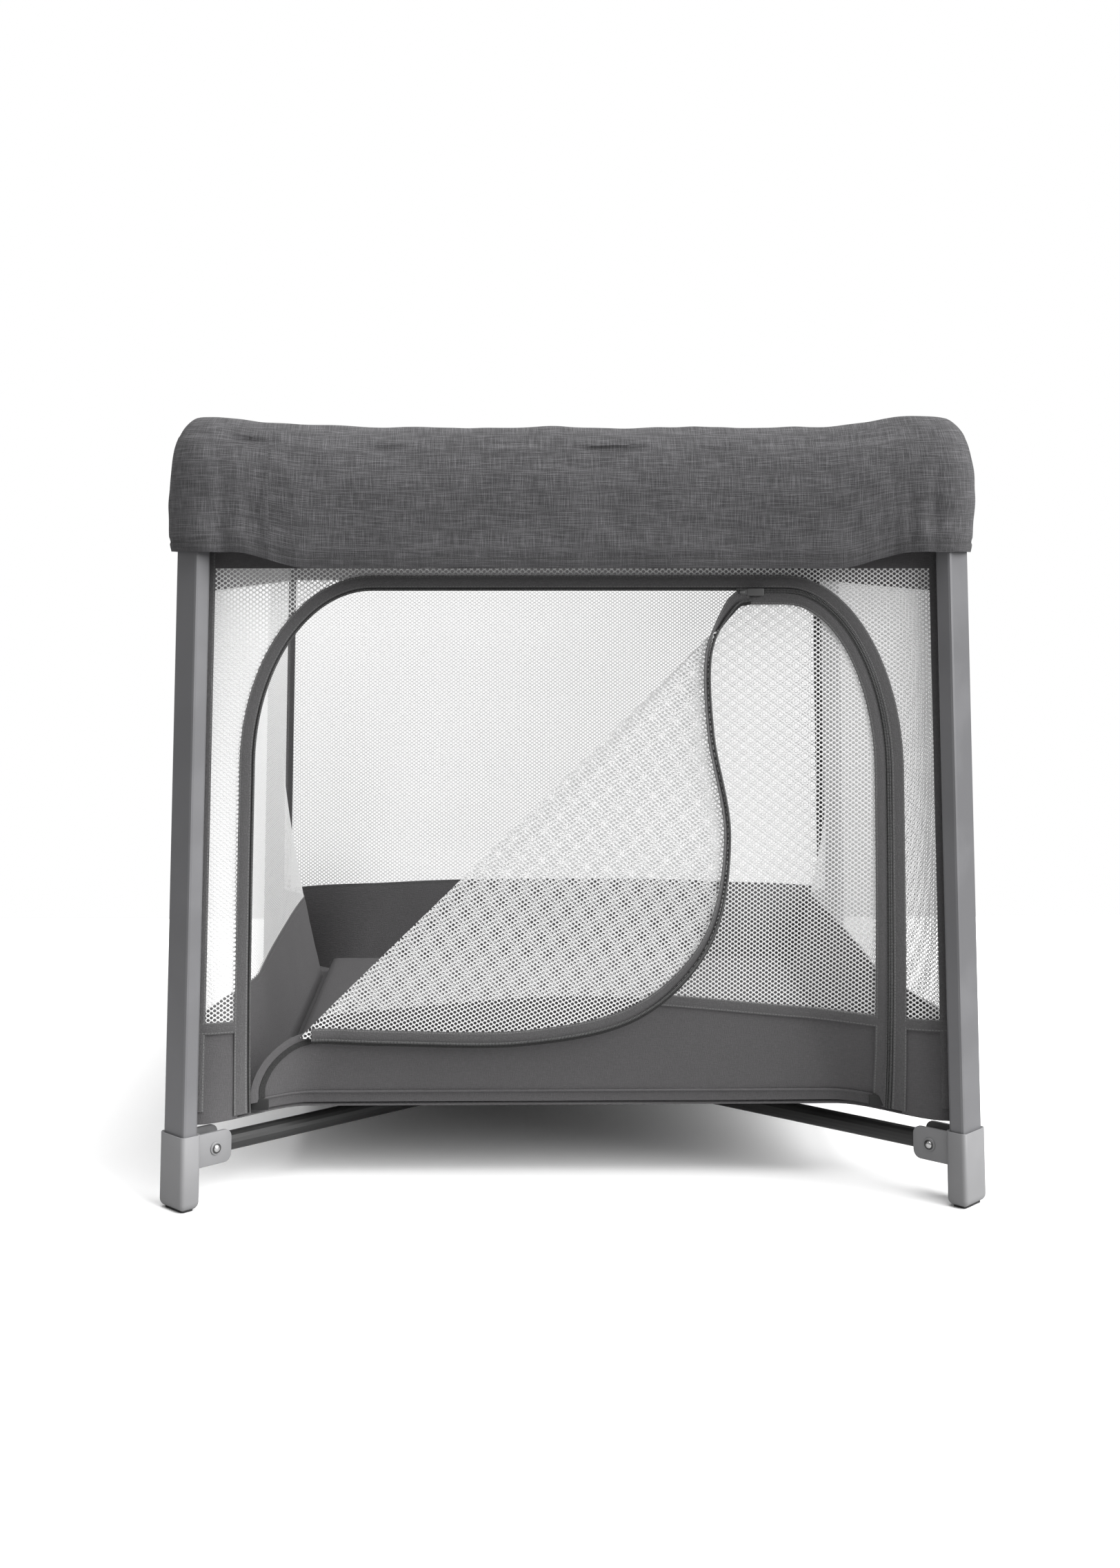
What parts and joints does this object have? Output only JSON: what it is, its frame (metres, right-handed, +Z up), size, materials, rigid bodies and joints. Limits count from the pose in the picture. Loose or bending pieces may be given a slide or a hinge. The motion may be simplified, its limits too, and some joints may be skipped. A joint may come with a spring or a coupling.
{
  "type": "playpen",
  "caption": "Square folding playpen with splayed tube legs, net walls, a padded top cover, a fabric floor band and an arched zip door partly opened.",
  "frame": {"origin": "on the floor under the hub, at the pen's middle", "axes": "+Z up, -Y is the front with the door, +X to the right seen from the front"},
  "size_m": [0.8994, 0.8994, 0.852],
  "materials": {
    "leg_grey": "satin grained paint",
    "cap_grey": "matte",
    "rubber_black": "matte",
    "rivet_steel": "polished",
    "strut_grey": "satin",
    "nylon_black": "matte",
    "webbing": "woven",
    "button_grey": "matte",
    "rail_grey": "satin",
    "cover_fabric": "melange weave",
    "band_fabric": "plain weave",
    "binding_fabric": "plain weave tape",
    "mat_fabric": "plain weave",
    "net_white": "hexagonal net",
    "zip_grey": "satin"
  },
  "bodies": {
    "hub": {"hub_base": "nylon_black", "hub_cover": "nylon_black", "pull_strap": "webbing", "fabric_tub": "band_fabric", "floor_mat": "mat_fabric", "net_front": "net_white", "net_right": "net_white", "net_back": "net_white", "net_left": "net_white", "door_frame": "binding_fabric", "door_panel": "net_white", "top_cover_front": "cover_fabric", "top_cover_right": "cover_fabric", "top_cover_back": "cover_fabric", "top_cover_left": "cover_fabric"},
    "strut_front_left": {"strut_front_left": "strut_grey"},
    "leg_front_left": {"leg_front_left": "leg_grey", "foot_front_left": "cap_grey", "foot_pad_front_left": "rubber_black", "lug_rivet_front_left": "rivet_steel", "corner_bracket_front_left": "nylon_black"},
    "strut_front_right": {"strut_front_right": "strut_grey"},
    "leg_front_right": {"leg_front_right": "leg_grey", "foot_front_right": "cap_grey", "foot_pad_front_right": "rubber_black", "lug_rivet_front_right": "rivet_steel", "corner_bracket_front_right": "nylon_black"},
    "strut_back_right": {"strut_back_right": "strut_grey"},
    "leg_back_right": {"leg_back_right": "leg_grey", "foot_back_right": "cap_grey", "foot_pad_back_right": "rubber_black", "lug_rivet_back_right": "rivet_steel", "corner_bracket_back_right": "nylon_black"},
    "strut_back_left": {"strut_back_left": "strut_grey"},
    "leg_back_left": {"leg_back_left": "leg_grey", "foot_back_left": "cap_grey", "foot_pad_back_left": "rubber_black", "lug_rivet_back_left": "rivet_steel", "corner_bracket_back_left": "nylon_black"},
    "rail_front_a": {"rail_front_a": "rail_grey"},
    "rail_front_b": {"rail_front_b": "rail_grey"},
    "latch_front": {"rail_latch_front": "nylon_black"},
    "button_front": {"latch_button_front": "button_grey"},
    "rail_right_a": {"rail_right_a": "rail_grey"},
    "rail_right_b": {"rail_right_b": "rail_grey"},
    "latch_right": {"rail_latch_right": "nylon_black"},
    "button_right": {"latch_button_right": "button_grey"},
    "rail_back_a": {"rail_back_a": "rail_grey"},
    "rail_back_b": {"rail_back_b": "rail_grey"},
    "latch_back": {"rail_latch_back": "nylon_black"},
    "button_back": {"latch_button_back": "button_grey"},
    "rail_left_a": {"rail_left_a": "rail_grey"},
    "rail_left_b": {"rail_left_b": "rail_grey"},
    "latch_left": {"rail_latch_left": "nylon_black"},
    "button_left": {"latch_button_left": "button_grey"},
    "flap": {"door_flap": "net_white"},
    "slider": {"zip_slider": "zip_grey"},
    "pull": {"zip_pull": "zip_grey"}
  },
  "joints": [
    {"name": "fold", "type": "hinge", "parent": "leg_front_left", "child": "strut_front_left", "pos_m": [-0.40088, -0.40088, 0.05997], "axis": [0.7071, -0.7071, 0], "range_deg": [0, 80], "deforming": ["fabric_tub", "floor_mat", "pull_strap", "net_front", "net_right", "net_back", "net_left", "door_frame", "door_panel", "top_cover_front", "top_cover_right", "top_cover_back", "top_cover_left", "door_flap"]},
    {"name": "fold_hub", "type": "hinge", "parent": "strut_front_left", "child": "hub", "pos_m": [-0.04101, -0.04101, 0.042], "axis": [0.7071, -0.7071, 0], "range_deg": [-80, 0]},
    {"name": "fold_strut_front_right", "type": "hinge", "parent": "hub", "child": "strut_front_right", "pos_m": [0.04101, -0.04101, 0.042], "axis": [0.7071, 0.7071, 0], "range_deg": [0, 80]},
    {"name": "fold_leg_front_right", "type": "hinge", "parent": "strut_front_right", "child": "leg_front_right", "pos_m": [0.40088, -0.40088, 0.05997], "axis": [0.7071, 0.7071, 0], "range_deg": [-80, 0]},
    {"name": "fold_strut_back_right", "type": "hinge", "parent": "hub", "child": "strut_back_right", "pos_m": [0.04101, 0.04101, 0.042], "axis": [-0.7071, 0.7071, 0], "range_deg": [0, 80]},
    {"name": "fold_leg_back_right", "type": "hinge", "parent": "strut_back_right", "child": "leg_back_right", "pos_m": [0.40088, 0.40088, 0.05997], "axis": [-0.7071, 0.7071, 0], "range_deg": [-80, 0]},
    {"name": "fold_strut_back_left", "type": "hinge", "parent": "hub", "child": "strut_back_left", "pos_m": [-0.04101, 0.04101, 0.042], "axis": [-0.7071, -0.7071, 0], "range_deg": [0, 80]},
    {"name": "fold_leg_back_left", "type": "hinge", "parent": "strut_back_left", "child": "leg_back_left", "pos_m": [-0.40088, 0.40088, 0.05997], "axis": [-0.7071, -0.7071, 0], "range_deg": [-80, 0]},
    {"name": "fold_rail_front_a", "type": "hinge", "parent": "leg_front_left", "child": "rail_front_a", "pos_m": [-0.37614, -0.41214, 0.803], "axis": [0, 1, 0], "range_deg": [0, 80]},
    {"name": "fold_rail_front_b", "type": "hinge", "parent": "leg_front_right", "child": "rail_front_b", "pos_m": [0.37614, -0.41214, 0.803], "axis": [0, -1, 0], "range_deg": [0, 80]},
    {"name": "fold_latch_front", "type": "hinge", "parent": "rail_front_a", "child": "latch_front", "pos_m": [-0.01627, -0.41214, 0.81571], "axis": [0, 1, 0], "range_deg": [-80, 0]},
    {"name": "press_button_front", "type": "slide", "parent": "latch_front", "child": "button_front", "axis": [0, 0, 1], "range_m": [0, 0.005], "stiffness_N_per_m": 300, "springref_m": -0.004},
    {"name": "fold_rail_right_a", "type": "hinge", "parent": "leg_front_right", "child": "rail_right_a", "pos_m": [0.41214, -0.37614, 0.803], "axis": [-1, 0, 0], "range_deg": [0, 80]},
    {"name": "fold_rail_right_b", "type": "hinge", "parent": "leg_back_right", "child": "rail_right_b", "pos_m": [0.41214, 0.37614, 0.803], "axis": [1, 0, 0], "range_deg": [0, 80]},
    {"name": "fold_latch_right", "type": "hinge", "parent": "rail_right_a", "child": "latch_right", "pos_m": [0.41214, -0.01627, 0.81571], "axis": [-1, 0, 0], "range_deg": [-80, 0]},
    {"name": "press_button_right", "type": "slide", "parent": "latch_right", "child": "button_right", "axis": [0, 0, 1], "range_m": [0, 0.005], "stiffness_N_per_m": 300, "springref_m": -0.004},
    {"name": "fold_rail_back_a", "type": "hinge", "parent": "leg_back_right", "child": "rail_back_a", "pos_m": [0.37614, 0.41214, 0.803], "axis": [0, -1, 0], "range_deg": [0, 80]},
    {"name": "fold_rail_back_b", "type": "hinge", "parent": "leg_back_left", "child": "rail_back_b", "pos_m": [-0.37614, 0.41214, 0.803], "axis": [0, 1, 0], "range_deg": [0, 80]},
    {"name": "fold_latch_back", "type": "hinge", "parent": "rail_back_a", "child": "latch_back", "pos_m": [0.01627, 0.41214, 0.81571], "axis": [0, -1, 0], "range_deg": [-80, 0]},
    {"name": "press_button_back", "type": "slide", "parent": "latch_back", "child": "button_back", "axis": [0, 0, 1], "range_m": [0, 0.005], "stiffness_N_per_m": 300, "springref_m": -0.004},
    {"name": "fold_rail_left_a", "type": "hinge", "parent": "leg_back_left", "child": "rail_left_a", "pos_m": [-0.41214, 0.37614, 0.803], "axis": [1, 0, 0], "range_deg": [0, 80]},
    {"name": "fold_rail_left_b", "type": "hinge", "parent": "leg_front_left", "child": "rail_left_b", "pos_m": [-0.41214, -0.37614, 0.803], "axis": [-1, 0, 0], "range_deg": [0, 80]},
    {"name": "fold_latch_left", "type": "hinge", "parent": "rail_left_a", "child": "latch_left", "pos_m": [-0.41214, 0.01627, 0.81571], "axis": [1, 0, 0], "range_deg": [-80, 0]},
    {"name": "press_button_left", "type": "slide", "parent": "latch_left", "child": "button_left", "axis": [0, 0, 1], "range_m": [0, 0.005], "stiffness_N_per_m": 300, "springref_m": -0.004},
    {"name": "flap_turn", "type": "hinge", "parent": "leg_front_left", "child": "flap", "pos_m": [0.152, -0.4008, 0.62], "axis": [-0.7102, 0.0479, -0.7024], "range_deg": [0, 170]},
    {"name": "zip_slide", "type": "slide", "parent": "hub", "child": "slider", "axis": [1, 0, 0], "range_m": [-0.3, 0.02]},
    {"name": "pull_swing", "type": "hinge", "parent": "slider", "child": "pull", "pos_m": [0.185, -0.4069, 0.666], "axis": [0, 0, -1], "range_deg": [0, 170]}
  ],
  "couplings": [
    {"joint": "fold_hub", "follows": "fold", "ratio": -1},
    {"joint": "fold_strut_front_right", "follows": "fold", "ratio": 1},
    {"joint": "fold_leg_front_right", "follows": "fold", "ratio": -1},
    {"joint": "fold_strut_back_right", "follows": "fold", "ratio": 1},
    {"joint": "fold_leg_back_right", "follows": "fold", "ratio": -1},
    {"joint": "fold_strut_back_left", "follows": "fold", "ratio": 1},
    {"joint": "fold_leg_back_left", "follows": "fold", "ratio": -1},
    {"joint": "fold_rail_front_a", "follows": "fold", "ratio": 1},
    {"joint": "fold_rail_front_b", "follows": "fold", "ratio": 1},
    {"joint": "fold_latch_front", "follows": "fold", "ratio": -1},
    {"joint": "fold_rail_right_a", "follows": "fold", "ratio": 1},
    {"joint": "fold_rail_right_b", "follows": "fold", "ratio": 1},
    {"joint": "fold_latch_right", "follows": "fold", "ratio": -1},
    {"joint": "fold_rail_back_a", "follows": "fold", "ratio": 1},
    {"joint": "fold_rail_back_b", "follows": "fold", "ratio": 1},
    {"joint": "fold_latch_back", "follows": "fold", "ratio": -1},
    {"joint": "fold_rail_left_a", "follows": "fold", "ratio": 1},
    {"joint": "fold_rail_left_b", "follows": "fold", "ratio": 1},
    {"joint": "fold_latch_left", "follows": "fold", "ratio": -1}
  ]
}
